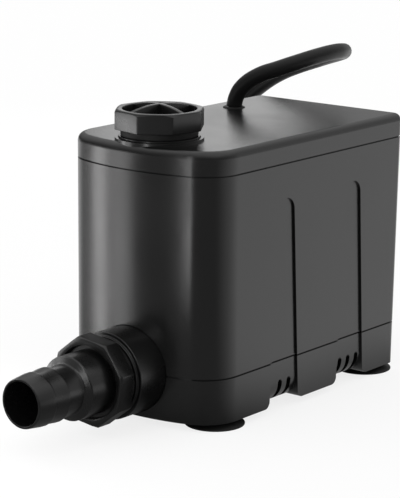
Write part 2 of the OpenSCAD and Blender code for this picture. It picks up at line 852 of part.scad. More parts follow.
// Rotor can: a thin closed tube that parts the water from the motor, with a clamped flange
module rotor_can() {
    color(inner_grey) translate([0, shaft_y, 0]) rotate_extrude()
        polygon([[can_bore, chamber_top], [can_flange_r, chamber_top], [can_flange_r, motor_z],
            [can_r, motor_z], [can_r, can_top], [0, can_top], [0, can_top - can_end],
            [pocket_r, can_top - can_end], [pocket_r, can_top - can_end - can_socket],
            [can_bore, can_top - can_end - can_socket]]);
}

// ---- Motor ----

// Case of the motor: a box, open above, with pads under the core and lugs on the tray's posts
module motor_case() {
    color(inner_grey) difference() {
        union() {
            block([-motor_hw, motor_front, motor_z], [motor_hw, motor_rear, motor_top]);
            at_posts() bar(lug_r, motor_z, motor_z + lug_t);
            both_sides() block([lug_front_x - lug_r, lug_front_y, motor_z],
                [lug_front_x + lug_r, 0, motor_z + lug_t]);
            both_sides() block([lug_rear_x - lug_r, 0, motor_z],
                [lug_rear_x + lug_r, lug_rear_y, motor_z + lug_t]);
        }
        block([-motor_hw + motor_wall, motor_front + motor_wall, stack_z],
            [motor_hw - motor_wall, motor_rear - motor_wall, motor_top + 1]);
        block([-motor_hw + motor_wall, core_y1, motor_z + motor_floor],
            [motor_hw - motor_wall, yoke_y0, stack_z + 1]);
        block([-motor_hw + motor_wall, motor_front + motor_wall, motor_z + motor_floor],
            [motor_hw - motor_wall, core_y0 - 1, stack_z + 1]);
        translate([0, shaft_y, 0]) bar(can_r + fit, motor_z - 1, stack_z + 1);
        at_ears() bar(pin_r + fit, motor_z - 1, motor_z + 5);
        at_posts() bar(post_screw_r + slack, motor_z - 1, motor_z + lug_t + 1);
    }
}

// Four screws down through the motor's lugs into the tray's posts
module motor_screws() {
    color(steel) at_posts() {
        bar(post_screw_r, motor_z - post_screw_l, motor_z + lug_t + eps);
        bar(post_screw_r + post_head_over, motor_z + lug_t, motor_z + lug_t + post_head_h);
    }
}

// Stack of laminations: two legs with pole pieces round the can, joined by a yoke behind
module stator_core() {
    color(lamination) translate([0, 0, stack_z]) linear_extrude(stack_h) {
        difference() {
            translate([-core_hw, core_y0]) square([2 * core_hw, core_y1 - core_y0]);
            translate([0, shaft_y]) circle(r = can_r + 0.4);
            translate([-pole_gap / 2, core_y0 - 1]) square([pole_gap, core_y1 - core_y0 + 2]);
        }
        for (x = [-leg_out, leg_in]) translate([x, core_y1 - 5])
            square([leg_out - leg_in, yoke_y0 - core_y1 + 10]);
        translate([-leg_out, yoke_y0]) square([2 * leg_out, yoke_t]);
    }
}

// Rectangle with round corners, centred
module rounded(w, h, r) {
    square([w - 2 * r, h], center = true);
    square([w, h - 2 * r], center = true);
    for (x = [-1, 1], y = [-1, 1]) translate([x * (w / 2 - r), y * (h / 2 - r)]) circle(r = r);
}

// A slice round one leg of the core: a rounded outline about the leg's own section
module round_leg(side, grow, r, hole, y0, y1) {
    w = leg_out - leg_in;
    translate([side * leg_mid, y1, stack_z + stack_h / 2]) rotate([90, 0, 0]) linear_extrude(y1 - y0)
        difference() {
            rounded(w + 2 * grow, stack_h + 2 * grow, r);
            square([w + 2 * hole, stack_h + 2 * hole], center = true);
        }
}

// Two bobbins, one on each leg
module bobbins() {
    color(nylon) for (side = [-1, 1]) {
        round_leg(side, bobbin_t, 0.5, 0, coil_y0, coil_y1);
        for (y = [coil_y0, coil_y1 - bobbin_t])
            round_leg(side, bobbin_t + wind_t + 0.4, 3, 0, y, y + bobbin_t);
    }
}

// Winding on one bobbin
module winding(side) {
    color(copper) round_leg(side, bobbin_t + wind_t, 5, bobbin_t, coil_y0 + bobbin_t, coil_y1 - bobbin_t);
}

module coil_left() {
    winding(-1);
}

module coil_right() {
    winding(1);
}

// Layer of cast resin that seals the motor case
module potting_cap() {
    color(resin_black) block([-motor_hw + motor_wall, motor_front + motor_wall, potting_z],
        [motor_hw - motor_wall, motor_rear - motor_wall, potting_z + potting_t]);
}

// ---- Cord and plug ----

// Rubber grommet in the lid, with a tapered strain relief that reaches down inside it
module cord_grommet() {
    bore = cord_r + fit;
    color(seal_black) translate([cord_x, cord_y, 0]) rotate_extrude()
        polygon([[bore, lid_inner - 24], [cord_r + 0.9, lid_inner - 24], [grommet_r - 0.2, lid_inner - 2],
            [grommet_r + 1.8, lid_inner - 2], [grommet_r + 1.8, lid_inner], [grommet_r, lid_inner],
            [grommet_r, grommet_top - 0.5], [grommet_r - 0.6, grommet_top], [bore, grommet_top]]);
}

// Cord inside the casing, from the cast resin up through the grommet
module cord_lead() {
    color(cord_black) cord_sweep(lead_route, free_sides, [0, 0, 1], [0, 0, 1], [1, 0, 0]);
}

// Free cord that arches over the lid and falls behind the casing
module cord_free() {
    color(cord_black) cord_sweep(free_route, free_sides, [0, 0, 1], into, [1, 0, 0]);
}

// Coil of cord put away behind the casing
module cord_coil() {
    color(cord_black) cord_sweep(coil_path, coil_sides, into, -into, [0, 0, 1]);
}

// Band that holds the coil's turns together
module cord_tie() {
    gap = 0.2;
    inner = coil_out - coil_step * coil_turns / 2 - cord_r - gap;
    outer = coil_out - coil_step / 4 + cord_r + gap;
    high = coil_step + cord_d + 0.2;
    color(cord_black) translate([coil_x, coil_y, layer_z + coil_step / 2])
        rotate([90, 0, coil_bearing - 90]) translate([(inner + outer) / 2, 0, -4]) linear_extrude(8)
            difference() {
                rounded(outer - inner + 2, high + 2, 5);
                rounded(outer - inner, high, 4);
            }
}

// Tail of the cord, from the coil to the plug
module cord_tail() {
    color(cord_black) cord_sweep(tail_path, free_sides, -into, -into, [0, 0, 1]);
}

// Draws in the plug's frame: its +X leads from the cord to the blades
module at_plug() {
    translate(tail_point(tail_end, plug_z)) rotate([0, 0, coil_bearing - 270]) children();
}

// Moulded plug: a round tail that swells into a flat-sided grip
module plug_body() {
    plan = [[10, 6], [17, 8.5], [25, 12.5], [30, 13.5], [plug_l, 13.5]];
    side = [[10, 6], [18, 8], [30, 13], [plug_l, 13]];
    color(cord_black) at_plug() {
        rotate([0, 90, 0]) bar(6.4, 0, 14);
        intersection() {
            translate([0, 0, -20]) linear_extrude(40) outline(plan);
            rotate([90, 0, 0]) translate([0, 0, -20]) linear_extrude(40) outline(side);
        }
    }
}

// Closed outline from its upper half
module outline(half) {
    polygon(concat(half, [for (i = [len(half) - 1:-1:0]) [half[i][0], -half[i][1]]]));
}

// Two flat blades, each with a round hole near its tip
module plug_blades() {
    color(brass) at_plug() for (s = [-1, 1]) translate([plug_l, s * blade_gap / 2, 4]) difference() {
        block([0, -0.75, -3.15], [17, 0.75, 3.15]);
        translate([13, 0, 0]) rotate([90, 0, 0]) bar(1.55, -1, 1);
    }
}

// Round earth pin with a bevelled tip
module earth_pin() {
    color(brass) at_plug() translate([plug_l, 0, 4 - 11.9]) rotate([0, 90, 0]) {
        bar(2.4, 0, 18);
        translate([0, 0, 18 - eps]) cylinder(r1 = 2.4, r2 = 1.2, h = 3);
    }
}

place() top_lid();
place() main_casing();
place() base_tray();
place() suction_cups();
place() case_screws();
place() outlet_barrel();
place() barrel_end();
place() outlet_riser();
place() barrel_cradle();
place() port_cap();
place() cap_seal();
place() hose_barb();
place() barb_seal();
place() pump_chamber();
place() chamber_cover();
place() chamber_gasket();
place() chamber_screws();
place() impeller();
place() rotor_magnet();
place() rotor_shaft();
place() lower_bush();
place() upper_bush();
place() rotor_can();
place() motor_case();
place() motor_screws();
place() stator_core();
place() bobbins();
place() coil_left();
place() coil_right();
place() potting_cap();
place() cord_grommet();
place() cord_lead();
place() cord_free();
place() cord_coil();
place() cord_tie();
place() cord_tail();
place() plug_body();
place() plug_blades();
place() earth_pin();
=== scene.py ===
import math

import bmesh
import bpy
from mathutils import Matrix, Vector


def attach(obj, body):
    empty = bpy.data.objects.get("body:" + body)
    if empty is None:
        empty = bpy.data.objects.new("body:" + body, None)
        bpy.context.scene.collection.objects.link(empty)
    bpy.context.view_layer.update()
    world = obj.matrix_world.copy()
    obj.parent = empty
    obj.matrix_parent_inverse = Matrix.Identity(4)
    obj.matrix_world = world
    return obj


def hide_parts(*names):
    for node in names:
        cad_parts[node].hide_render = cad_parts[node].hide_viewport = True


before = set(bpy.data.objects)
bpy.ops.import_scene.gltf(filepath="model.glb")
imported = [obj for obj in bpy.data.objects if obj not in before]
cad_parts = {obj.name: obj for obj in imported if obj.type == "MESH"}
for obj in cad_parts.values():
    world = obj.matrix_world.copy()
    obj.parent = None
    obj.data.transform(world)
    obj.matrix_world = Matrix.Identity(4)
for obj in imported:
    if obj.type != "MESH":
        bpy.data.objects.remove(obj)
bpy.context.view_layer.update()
scene = bpy.context.scene
scene.view_settings.view_transform = "Standard"

# ---- Camera ----
# A long lens that stands ahead and to the right of the pump, a little above it. It is turned by a yaw, a
# pitch and a small roll, and its shift moves the pump across the view without turning the lens.
yaw = math.radians(39.08)
pitch = math.radians(13.12)
roll = math.radians(0.319)
camera_place = Vector((0.7065, -0.8716, 0.3461))
ahead = Vector((-math.sin(yaw) * math.cos(pitch), math.cos(yaw) * math.cos(pitch), -math.sin(pitch)))
level = Vector((math.cos(yaw), math.sin(yaw), 0))
above = level.cross(ahead)
cam_right = level * math.cos(roll) + above * math.sin(roll)
cam_up = above * math.cos(roll) - level * math.sin(roll)
lens_data = bpy.data.cameras.new("camera")
lens_data.sensor_width = 36
lens_data.lens = 155.2
lens_data.shift_x = 0.0283
lens_data.clip_end = 20
camera = bpy.data.objects.new("camera", lens_data)
scene.collection.objects.link(camera)
turned_to = Matrix((cam_right, cam_up, -ahead)).transposed().to_4x4()
camera.matrix_world = Matrix.Translation(camera_place) @ turned_to
scene.camera = camera


# ---- Cord ----
# Round flexible cord with a satin black jacket of soft plastic. It rises out of the lid and arches over
# behind the casing, and what is spare lies in one coil of two layers, wound in and out again.
class Value:
    """A socket of a shader node that takes part in sums and products."""

    def __init__(self, tree, socket):
        self.tree = tree
        self.socket = socket

    def math(self, operation, *others):
        return self.tree.node("Math", 0, {"operation": operation}, dict(enumerate((self,) + others)))

    def __add__(self, other):
        return self.math("ADD", other)

    __radd__ = __add__

    def __mul__(self, other):
        return self.math("MULTIPLY", other)

    __rmul__ = __mul__

    def __sub__(self, other):
        return self.math("SUBTRACT", other)

    def __rsub__(self, other):
        return (self * -1).math("ADD", other)

    def __truediv__(self, other):
        return self.math("DIVIDE", other)


class Tree:
    """A node tree of a material or a world."""

    def __init__(self, tree):
        self.tree = tree

    def put(self, socket, value):
        """Links a Value to a socket, or sets the socket to a plain value."""
        if isinstance(value, Value):
            self.tree.links.new(value.socket, socket)
        else:
            socket.default_value = value

    def node(self, kind, output, settings, inputs):
        """Adds a node with these settings and inputs, and returns one of its outputs."""
        node = self.tree.nodes.new("ShaderNode" + kind)
        for name, value in settings.items():
            setattr(node, name, value)
        for name, value in inputs.items():
            self.put(node.inputs[name], value)
        return Value(self, node.outputs[output])

    def parts(self, vector):
        """The x, y and z parts of a vector."""
        return [self.node("SeparateXYZ", axis, {}, {"Vector": vector}) for axis in "XYZ"]


class Finish(Tree):
    """A material with one Principled shader."""

    def __init__(self, name, color, roughness, **constants):
        self.material = bpy.data.materials.new(name)
        self.material.use_nodes = True
        super().__init__(self.material.node_tree)
        self.shader = self.tree.nodes["Principled BSDF"]
        self.set("Base Color", (*color, 1))
        self.set("Roughness", roughness)
        for socket, value in constants.items():
            self.set(socket.replace("_", " "), value)
        self.place = self.node("TexCoord", "Object", {}, {})

    def set(self, socket, value):
        self.put(self.shader.inputs[socket], value)

    def noise(self, scale, detail=2):
        return self.node("TexNoise", "Fac", {}, {"Vector": self.place, "Scale": scale, "Detail": detail})

    def spread(self, value, to_low, to_high):
        """The middle of a noise, spread over a range."""
        return self.node("MapRange", "Result", {}, {"Value": value, "From Min": 0.3, "From Max": 0.7,
                                                    "To Min": to_low, "To Max": to_high})

    def stripes(self, axis, pitch):
        """Even stripes across one of the piece's own axes, from 0 to 1."""
        place = self.node("SeparateXYZ", axis, {}, {"Vector": self.place})
        return (place * (math.tau / pitch)).math("SINE") * 0.5 + 0.5

    def tint(self, factor, dark, light):
        """Colours the piece between two colours, by a factor."""
        mixed = self.node("Mix", 2, {"data_type": "RGBA"}, {0: factor, 6: (*dark, 1), 7: (*light, 1)})
        self.set("Base Color", mixed)

    def bump(self, height, depth, strength=1.0):
        self.set("Normal", self.node("Bump", "Normal", {}, {"Height": height, "Distance": depth,
                                                            "Strength": strength}))


def dress(obj, finish):
    """Gives a piece one finish all over."""
    obj.data.materials.clear()
    obj.data.materials.append(finish.material)


mm = 0.001
mid_y = 40                  # the casing's middle, in the part's frame
to_frame = Vector((0, mid_y, 0))
cord_radius = 4.5
jacket = Finish("cord_jacket", (0.005, 0.005, 0.005), 0.38, Specular_IOR_Level=0.32)
jacket.set("Roughness", jacket.spread(jacket.noise(60), 0.34, 0.46))
jacket.tint(jacket.noise(35), (0.003, 0.003, 0.003), (0.007, 0.007, 0.007))
jacket.bump(jacket.noise(900, 3), 0.00012, 0.5)

cord_exit = Vector((-32.5, 41, 148.6))
free_route = [
    cord_exit, (-31, 41, 154), (-27, 41.5, 160.2), (-18, 44.5, 167.2), (-8.5, 50.5, 171.4),
    (-0.5, 59.5, 175.1), (4.5, 71, 177.7), (5.5, 84, 178.5), (2.5, 96.5, 177.5), (-4, 107.5, 175.5),
    (-13.5, 116, 172.5), (-25, 121.5, 169), (-37, 124.5, 165), (-49.5, 125, 160.5), (-61, 123.5, 155.3),
    (-71.5, 120.5, 148.2), (-80, 116, 139.5), (-87, 111, 128.5), (-93, 105, 118), (-97, 99, 107),
    (-100.5, 93.5, 96), (-102.5, 88, 84), (-105.5, 83, 72), (-108, 79.5, 60.5), (-112, 77, 48.5),
    (-116.5, 76.5, 37), (-122.5, 78, 26), (-130, 82, 17), (-137.5, 87.5, 10), (-144.5, 93, 6.5)]
coil_middle = Vector((-111, 144, 0))
coil_turns = 4.5
coil_step = 9.5
coil_outer = 48 + coil_step * coil_turns / 4
first_bearing = math.radians(219)
low_layer = 5.7
into_coil = Vector((math.sin(first_bearing), -math.cos(first_bearing), 0))
lead_in = 9


def coil_point(turns):
    """A point of the coil, so many turns after its start."""
    climb = min(max((turns - coil_turns / 2) * 2 + 0.5, 0), 1)
    bearing = first_bearing - math.tau * turns
    radius = coil_outer - coil_step * min(turns, coil_turns - turns)
    height = low_layer + coil_step * climb * climb * (3 - 2 * climb)
    return coil_middle + Vector((radius * math.cos(bearing), radius * math.sin(bearing), height))


points_per_turn = 16
route = [Vector(p) for p in free_route] + [coil_point(0) - lead_in * into_coil]
route += [coil_point(i / points_per_turn) for i in range(int(coil_turns * points_per_turn) + 1)]
coil_exit = coil_point(coil_turns) - lead_in * into_coil
plug_height = 13.4
tail_length = 36
plug_start = Vector((coil_exit.x, coil_exit.y, plug_height)) - tail_length * into_coil
route += [coil_exit, coil_exit - lead_in * into_coil - Vector((0, 0, 0.9)),
          plug_start + lead_in * into_coil, plug_start]

curve = bpy.data.curves.new("power_cord", "CURVE")
curve.dimensions = "3D"
curve.bevel_depth = cord_radius * mm
curve.bevel_resolution = 6
curve.resolution_u = 6
curve.use_fill_caps = True
spline = curve.splines.new("BEZIER")
spline.bezier_points.add(len(route) - 1)
for knot, place in zip(spline.bezier_points, route):
    knot.co = (place + to_frame) * mm
    knot.handle_left_type = knot.handle_right_type = "AUTO"
power_cord = bpy.data.objects.new("power_cord", curve)
scene.collection.objects.link(power_cord)
dress(power_cord, jacket)
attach(power_cord, "housing")
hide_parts("cord_free", "cord_coil", "cord_tail")

# ---- Grommet and strain relief ----
# Soft rubber bush, pushed up through the lid's hole from inside, so that its flange seats on the lid. Its
# tapered tail grips the cord below the lid.
rubber = Finish("black_rubber", (0.008, 0.008, 0.008), 0.6, Specular_IOR_Level=0.32)
rubber.tint(rubber.noise(120, 3), (0.005, 0.005, 0.005), (0.011, 0.011, 0.0105))
rubber.bump(rubber.noise(1600), 0.00005, 0.5)
dress(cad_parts["cord_grommet"], rubber)

# ---- Tie ----
# Strap of soft black webbing, wrapped once round the coil's turns, with its tongue pressed down on itself.
webbing = Finish("tie_webbing", (0.016, 0.016, 0.016), 0.75)
weave = webbing.stripes("Z", 0.0009) * webbing.stripes("X", 0.0009)
webbing.tint(weave, (0.010, 0.010, 0.010), (0.030, 0.030, 0.030))
webbing.bump(weave, 0.0002, 0.6)


def make_piece(name, bm, finish, body, slot, *stands_for):
    """Turns a finished mesh into a piece that rides on a body and takes the place of CAD nodes."""
    bmesh.ops.recalc_face_normals(bm, faces=bm.faces)
    for face in bm.faces:
        face.smooth = True
    for edge in bm.edges:
        if len(edge.link_faces) == 2 and edge.calc_face_angle() > math.radians(32):
            edge.smooth = False
    mesh = bpy.data.meshes.new(name)
    bm.to_mesh(mesh)
    bm.free()
    obj = bpy.data.objects.new(name, mesh)
    scene.collection.objects.link(obj)
    dress(obj, finish)
    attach(obj, body)
    if stands_for:
        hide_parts(*stands_for)
    return obj


def skin(bm, rings, closed=False):
    """Joins rings of points by quads. The last ring joins the first, or both ends are capped."""
    made = [[bm.verts.new(point) for point in ring] for ring in rings]
    count = len(made[0])
    following = made[1:] + made[:1] if closed else made[1:]
    for one, two in zip(made, following):
        for i in range(count):
            j = (i + 1) % count
            bm.faces.new((one[i], one[j], two[j], two[i]))
    if not closed:
        bm.faces.new(made[0])
        bm.faces.new(made[-1])


def squarish(turn, half_wide, half_high, squareness):
    """A point of a rounded rectangle's outline; a squareness of 2 is an ellipse."""
    across, up = math.cos(turn), math.sin(turn)
    power = 2 / squareness
    return (half_wide * math.copysign(abs(across) ** power, across),
            half_high * math.copysign(abs(up) ** power, up))


tie_out = Vector((math.cos(first_bearing), math.sin(first_bearing), 0))
tie_along = Vector((-math.sin(first_bearing), math.cos(first_bearing), 0))
tie_middle = coil_middle + to_frame + Vector((0, 0, low_layer + coil_step / 2))
turns_inner = coil_outer - coil_step * coil_turns / 2 - cord_radius
turns_outer = coil_outer - coil_step / 4 + cord_radius
tie_middle += tie_out * (turns_inner + turns_outer) / 2
tie_half_out = (turns_outer - turns_inner) / 2 + 0.8
tie_half_up = coil_step / 2 + cord_radius + 0.7
tie_squareness = 4.5
strap_half = 4
strap_thick = 0.45
strap_section = [(-strap_half, -0.2), (0.3 - strap_half, -strap_thick), (strap_half - 0.3, -strap_thick),
                 (strap_half, -0.2), (strap_half, 0.2), (strap_half - 0.3, strap_thick),
                 (0.3 - strap_half, strap_thick), (-strap_half, 0.2)]


def strap_rings(first, last, lift, steps):
    """Sections of the strap between two shares of its way round the turns."""
    rings = []
    for i in range(steps + 1):
        turn = math.tau * (first + (last - first) * i / steps)
        out, up = squarish(turn, tie_half_out + lift, tie_half_up + lift, tie_squareness)
        next_out, next_up = squarish(turn + 0.01, tie_half_out + lift, tie_half_up + lift, tie_squareness)
        way = Vector((next_up - up, out - next_out)).normalized()
        rings.append([(tie_middle + tie_along * wide + tie_out * (out + way.x * thick)
                       + Vector((0, 0, up + way.y * thick))) * mm for wide, thick in strap_section])
    return rings


bm = bmesh.new()
skin(bm, strap_rings(first=0.03, last=1.03, lift=0, steps=72)[:-1], closed=True)
skin(bm, strap_rings(first=0.14, last=0.36, lift=0.95, steps=20))
make_piece("cord_strap", bm, webbing, "housing", "cord_jacket", "cord_tie")

# ---- Power plug ----
# Moulded on the cord's end in the same black plastic: a ribbed strain relief that swells into a grip with
# ripples for the fingers. Two flat blades and a round earth pin of plain brass stand out of its face.
moulded = Finish("plug_plastic", (0.014, 0.014, 0.014), 0.45)
moulded.set("Roughness", moulded.spread(moulded.noise(80), 0.40, 0.50))
moulded.bump(moulded.noise(1800), 0.00006, 0.5)
brass = Finish("plug_brass", (0.78, 0.60, 0.30), 0.28, Metallic=1.0)
brass.set("Roughness", brass.spread(brass.noise(400, 4), 0.20, 0.36))
brass.tint(brass.noise(90, 3), (0.70, 0.52, 0.25), (0.84, 0.66, 0.36))

plug_side = Vector((into_coil.y, -into_coil.x, 0))
stations = [(0, 5.0, 5.0, 2)]
for k in range(5):
    start = 0.5 + 2.6 * k
    stations += [(start, 5.0, 5.0, 2), (start + 0.3, 6.2, 6.2, 2), (start + 1.6, 6.3, 6.3, 2),
                 (start + 1.9, 5.2, 5.2, 2)]
stations += [(13.8, 6.2, 6.2, 2), (15.5, 7.4, 6.9, 2.2), (18, 9.0, 8.0, 2.6), (20, 10.0, 8.8, 2.9)]
for k in range(25):
    share = k / 24
    ripple = 0.35 * math.sin(math.tau * 6 * share)
    half_wide = 10.5 + 3 * min(1, share * 1.6)
    half_high = 8.95 + 3.7 * min(1, share * 1.5) + ripple
    stations.append((21 + 14 * share, half_wide, half_high, 3.0 + 1.2 * share))
stations += [(36.5, 13.5, 13.0, 4.2), (41.2, 13.5, 13.0, 4.2), (41.8, 13.2, 12.7, 4.2),
             (42, 12.7, 12.2, 4.2)]
rings = []
for distance, half_wide, half_high, squareness in stations:
    ring = []
    for i in range(48):
        side, up = squarish(math.tau * (i + 0.5) / 48, half_wide, half_high, squareness)
        ring.append((plug_start + Vector((0, mid_y, up)) - into_coil * distance + plug_side * side) * mm)
    rings.append(ring)
bm = bmesh.new()
skin(bm, rings)
make_piece("plug_grip", bm, moulded, "housing", "cord_jacket", "plug_body")


def crisp(obj, width):
    """Rounds a moulded piece's edges by a small radius and keeps its flat faces flat."""
    weld = obj.modifiers.new("weld", "WELD")
    weld.merge_threshold = 0.00001
    bevel = obj.modifiers.new("bevel", "BEVEL")
    bevel.width = width
    bevel.segments = 2
    bevel.limit_method = "ANGLE"
    bevel.angle_limit = math.radians(35)
    even = obj.modifiers.new("even", "WEIGHTED_NORMAL")
    even.weight = 100


for name in ("plug_blades", "earth_pin"):
    dress(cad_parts[name], brass)
    crisp(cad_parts[name], 0.2 * mm)

# ---- Casing ----
# The lid, the casing and the base tray are injection-moulded in black plastic with a satin, very finely
# etched skin. They snap and screw together, and a shadow line runs round at both seams.
satin = Finish("casing_plastic", (0.004, 0.004, 0.004), 0.24, Specular_IOR_Level=0.68)
satin.set("Roughness", satin.spread(satin.noise(28, 4), 0.22, 0.27))
satin.tint(satin.noise(14, 3), (0.0025, 0.0025, 0.0025), (0.0045, 0.0045, 0.0044))
satin.bump(satin.noise(1500, 2), 0.00004, 0.5)
for name in ("top_lid", "main_casing", "base_tray"):
    dress(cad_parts[name], satin)
    crisp(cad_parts[name], 0.35 * mm)

# ---- Outlet ----
# Mouldings of a harder, smoother black plastic: the barrel behind the front port and the riser to the upper
# one, welded together. Each port has a coarse internal thread, moulded in.
smooth = Finish("fitting_plastic", (0.003, 0.003, 0.003), 0.28, Specular_IOR_Level=0.62)
smooth.set("Roughness", smooth.spread(smooth.noise(45, 4), 0.25, 0.32))
smooth.bump(smooth.noise(1900, 2), 0.00003, 0.5)
for name in ("outlet_barrel", "barrel_end", "outlet_riser", "barrel_cradle"):
    dress(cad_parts[name], smooth)
    crisp(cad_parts[name], 0.4 * mm)

outlet_z = 28.7
port_y = -64
port_face = 107.5
top_face = 150
thread_pitch = 3
thread_l = 12
thread_lead = 0.8
thread_wall = 0.4
bore_r = 18.6


def standing(x, y):
    """Stands a turned piece, drawn in millimetres, upright over a point of the casing's plan."""
    return Matrix.Translation(Vector((x, mid_y + y, 0)) * mm) @ Matrix.Scale(mm, 4)


upright = standing(0, port_y)
forward = (Matrix.Translation(Vector((0, mid_y, outlet_z)) * mm) @ Matrix.Rotation(math.pi / 2, 4, "X")
           @ Matrix.Scale(mm, 4))


def turned(bm, profile_at, place, angles, closed):
    """Turns a profile round an axis. It may change with the angle, and a closed one returns to its start."""
    profiles = [profile_at(angle) for angle in angles]
    rows = len(profiles[0])
    made = []
    for row in range(rows):
        if profiles[0][row][0] == 0:
            made.append([bm.verts.new(place @ Vector((0, 0, profiles[0][row][1])))] * len(angles))
            continue
        points = [(profile[row][0] * math.cos(angle), profile[row][0] * math.sin(angle), profile[row][1])
                  for angle, profile in zip(angles, profiles)]
        made.append([bm.verts.new(place @ Vector(point)) for point in points])
    following = made[1:] + made[:1] if closed else made[1:]
    for one, two in zip(made, following):
        for i in range(len(angles)):
            j = (i + 1) % len(angles)
            corners = [one[i], one[j], two[j], two[i]]
            bm.faces.new([v for k, v in enumerate(corners) if v not in corners[:k]])


def thread_rows(angle, first, last, root, depth, shift=0.0):
    """Rows of a screw thread with flat crests, which runs out at both ends."""
    rows = []
    count = round((last - first) / 0.25)
    for i in range(count + 1):
        height = first + (last - first) * i / count
        wave = (height / thread_pitch - angle / math.tau + shift) % 1
        crest = min(max((0.6 - abs(wave - 0.5) * 2) / 0.35, 0), 1)
        runout = min(1, (height - first) / 1.2, (last - height) / 1.2)
        rows.append((root + depth * crest * runout, height))
    return rows


round_angles = [math.tau * i / 96 for i in range(96)]
for name, place, face in (("upper_port_thread", upright, top_face),
                          ("front_port_thread", forward, port_face)):
    bm = bmesh.new()
    turned(bm, lambda angle: thread_rows(angle, face - thread_l, face - thread_lead, root=bore_r - 0.05,
                                         depth=-0.95, shift=0.5)
           + [(bore_r + thread_wall, face - thread_lead), (bore_r + thread_wall, face - thread_l)],
           place, round_angles, closed=True)
    make_piece(name, bm, smooth, "housing", "fitting_plastic")

# ---- Plug of the upper port ----
# A hollow octagonal head on a blind threaded spigot, moulded in one with two arched ribs that cross in it
# and let a hand turn it. It screws into the upper port.
head_flat = 22.5
head_corner = head_flat / math.cos(math.pi / 8)
head_height = 10.5
head_bevel = 1.4
corner_round = 1.1
spigot_r = 18.3
washer_t = 3.7
hollow_r = 19.5
round_middle = (head_flat - corner_round) / math.cos(math.pi / 8)
round_end = math.atan2(corner_round * math.sin(math.pi / 8),
                       round_middle + corner_round * math.cos(math.pi / 8))
corner_steps = [-1, -0.66, -0.33, 0, 0.33, 0.66, 1]
flat_steps = [0.3, 0.5, 0.7, 0.85, 1.0]


def head_angles(turn):
    """Angles round an octagonal head, close together at its corners."""
    angles = []
    for k in range(8):
        corner = turn + math.tau * k / 8
        angles += [corner + round_end * step for step in corner_steps]
        angles += [corner + round_end + (math.pi / 4 - 2 * round_end) * step for step in flat_steps[:-1]]
    return angles


def head_reach(angle, turn):
    """How far an octagon with rounded corners reaches at an angle."""
    from_corner = (angle - turn + math.pi / 8) % (math.pi / 4) - math.pi / 8
    if abs(from_corner) < round_end:
        aside = round_middle * math.sin(from_corner)
        return round_middle * math.cos(from_corner) + math.sqrt(corner_round ** 2 - aside ** 2)
    return head_flat / math.cos(math.pi / 8 - abs(from_corner))


def head_rows(angle, turn, low):
    """Rows up the outside of a head: a bevel, the flats, and a cone that takes off its upper corners."""
    high = low + head_height
    reach = head_reach(angle, turn)
    cone = head_corner - head_bevel + 0.6
    upper = min(reach, cone)
    start = min(high - head_bevel + head_corner - reach, high - 0.7)
    return [(reach - 0.7, low), (reach - 0.2, low + 0.2), (reach, low + 0.7), (reach, start),
            (upper, high - 0.6), (upper - 0.2, high - 0.2), (upper - 0.6, high)]


cap_z = top_face + washer_t
cap_turn = math.radians(11.4)
cap_rim = cap_z + head_height
spigot_foot = top_face - thread_l


def cap_profile(angle):
    return ([(0, spigot_foot), (16.6, spigot_foot), (17.1, spigot_foot + 0.4)]
            + thread_rows(angle, spigot_foot + 0.6, top_face - 0.3, spigot_r - 1, 1.0)
            + [(spigot_r - 0.1, top_face), (spigot_r - 0.1, cap_z)] + head_rows(angle, cap_turn, cap_z)
            + [(hollow_r + 0.7, cap_rim), (hollow_r + 0.2, cap_rim - 0.2), (hollow_r, cap_rim - 0.7),
               (hollow_r, cap_z + 1.6), (hollow_r - 0.6, cap_z + 1), (hollow_r - 3.4, cap_z + 1),
               (hollow_r - 4, cap_z + 0.4), (hollow_r - 4, spigot_foot + 5.2),
               (hollow_r - 4.5, spigot_foot + 4.7), (0, spigot_foot + 4.7)])


bm = bmesh.new()
turned(bm, cap_profile, upright, head_angles(cap_turn), closed=False)
rib_half = 1.5
rib_arch = 67
rib_rise = 2.4
for quarter in (0, 1):
    way = cap_turn - math.pi / 8 + quarter * math.pi / 2
    along = Vector((math.cos(way), math.sin(way), 0))
    side = Vector((-math.sin(way), math.cos(way), 0))
    rings = []
    for i in range(25):
        far = (hollow_r + 0.3) * (i / 12 - 1)
        top = cap_rim + rib_rise - rib_arch + math.sqrt(rib_arch ** 2 - far ** 2)
        section = [(-rib_half, cap_z + 0.5), (-rib_half, top - 0.6), (-rib_half + 0.18, top - 0.18),
                   (-rib_half + 0.6, top), (rib_half - 0.6, top), (rib_half - 0.18, top - 0.18),
                   (rib_half, top - 0.6), (rib_half, cap_z + 0.5)]
        rings.append([upright @ (along * far + side * across + Vector((0, 0, up)))
                      for across, up in section])
    skin(bm, rings)
make_piece("port_plug", bm, smooth, "cap", "fitting_plastic", "port_cap")

# ---- Seal washers ----
# Flat rings of black rubber with rounded edges. One is squeezed under each octagonal head, so that no water
# gets past its thread.
def eased(points, steps=3):
    """A profile with rounded corners. Each point has a radius, a height and how far its rounding reaches."""
    out = []
    for i, (r, h, reach) in enumerate(points):
        here = Vector((r, h))
        if not reach:
            out.append((r, h))
            continue
        back = Vector(points[i - 1][:2]) - here
        on = Vector(points[(i + 1) % len(points)][:2]) - here
        start = here + back.normalized() * min(reach, back.length / 2)
        end = here + on.normalized() * min(reach, on.length / 2)
        for k in range(steps + 1):
            t = k / steps
            point = start * (1 - t) ** 2 + here * 2 * t * (1 - t) + end * t ** 2
            out.append((point.x, point.y))
    return out


